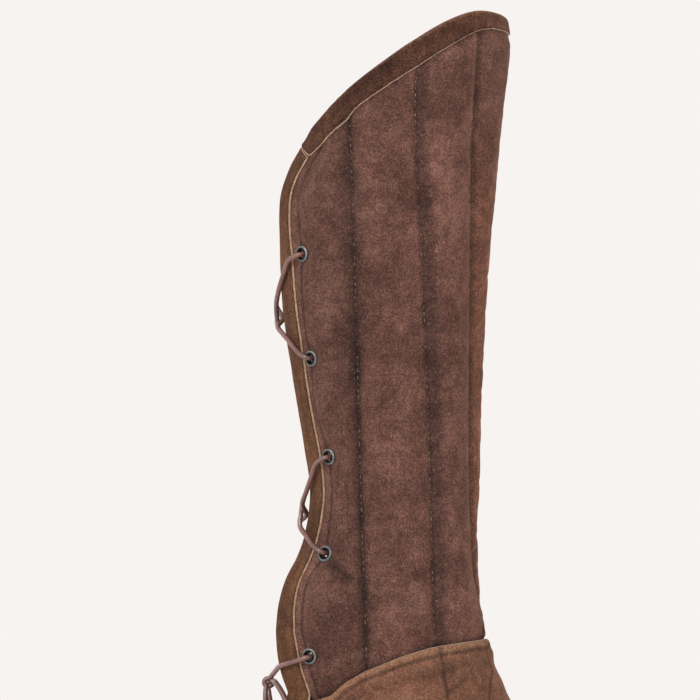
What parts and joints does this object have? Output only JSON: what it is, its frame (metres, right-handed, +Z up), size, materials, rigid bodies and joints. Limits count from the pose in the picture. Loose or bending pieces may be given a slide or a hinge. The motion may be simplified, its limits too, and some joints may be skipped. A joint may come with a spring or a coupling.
{
  "type": "padded greave",
  "caption": "Quilted suede shin guard with padded channels, bound edges, a lapped foot panel and a laced back, which opens at two side folds.",
  "frame": {"origin": "on the floor, under the middle of the greave's bounding box", "axes": "+Z up the leg, +X towards the toe, +Y to the wearer's left side"},
  "size_m": [0.2029, 0.1284, 0.4933],
  "materials": {
    "suede": "napped suede, chocolate brown",
    "foot_suede": "napped suede, lighter brown",
    "binding": "napped suede strip with a raw cut edge",
    "lining": "plain cotton",
    "wadding": "loose cotton wadding",
    "eyelet_metal": "dull antique grey",
    "lace_leather": "smooth waxed cord"
  },
  "bodies": {
    "shin": {"outer_left": "suede", "outer_right": "suede", "lining_left": "lining", "lining_right": "lining", "wadding_shin_left": "wadding", "wadding_shin_right": "wadding", "wadding_front_left": "wadding", "wadding_front_right": "wadding", "wadding_side_left": "wadding", "wadding_side_right": "wadding", "binding_top_left": "binding", "binding_top_right": "binding", "foot_outer_left": "foot_suede", "foot_outer_right": "foot_suede", "foot_lining_left": "lining", "foot_lining_right": "lining", "foot_wadding_left": "wadding", "foot_wadding_right": "wadding", "hem_left": "binding", "hem_right": "binding", "lace": "lace_leather", "lace_bow": "lace_leather"},
    "left_wing": {"wing_outer_left": "suede", "wing_lining_left": "lining", "wing_wadding_left": "wadding", "wing_binding_top_left": "binding", "binding_back_left": "binding", "heel_outer_left": "foot_suede", "heel_lining_left": "lining", "heel_wadding_left": "wadding", "heel_hem_left": "binding", "eyelets_left": "eyelet_metal", "washers_left": "eyelet_metal"},
    "right_wing": {"wing_outer_right": "suede", "wing_lining_right": "lining", "wing_wadding_right": "wadding", "wing_binding_top_right": "binding", "binding_back_right": "binding", "heel_outer_right": "foot_suede", "heel_lining_right": "lining", "heel_wadding_right": "wadding", "heel_hem_right": "binding", "eyelets_right": "eyelet_metal", "washers_right": "eyelet_metal"},
    "toe": {"toe_outer_left": "foot_suede", "toe_outer_right": "foot_suede", "toe_lining_left": "lining", "toe_lining_right": "lining", "toe_wadding_left": "wadding", "toe_wadding_right": "wadding", "toe_hem_left": "binding", "toe_hem_right": "binding"}
  },
  "joints": [
    {"name": "left_fold", "type": "hinge", "parent": "shin", "child": "left_wing", "pos_m": [-0.03385, 0.0523, 0.06], "axis": [0.0287, -0.013, -0.9995], "range_deg": [-2, 30], "deforming": ["lace", "lace_bow"]},
    {"name": "right_fold", "type": "hinge", "parent": "shin", "child": "right_wing", "pos_m": [-0.03385, -0.0523, 0.06], "axis": [-0.0287, -0.013, 0.9995], "range_deg": [-2, 30], "deforming": ["lace", "lace_bow"]},
    {"name": "toe_fold", "type": "hinge", "parent": "shin", "child": "toe", "pos_m": [0.04325, 0, 0.086], "axis": [0, -1, 0], "range_deg": [0, 20]}
  ]
}
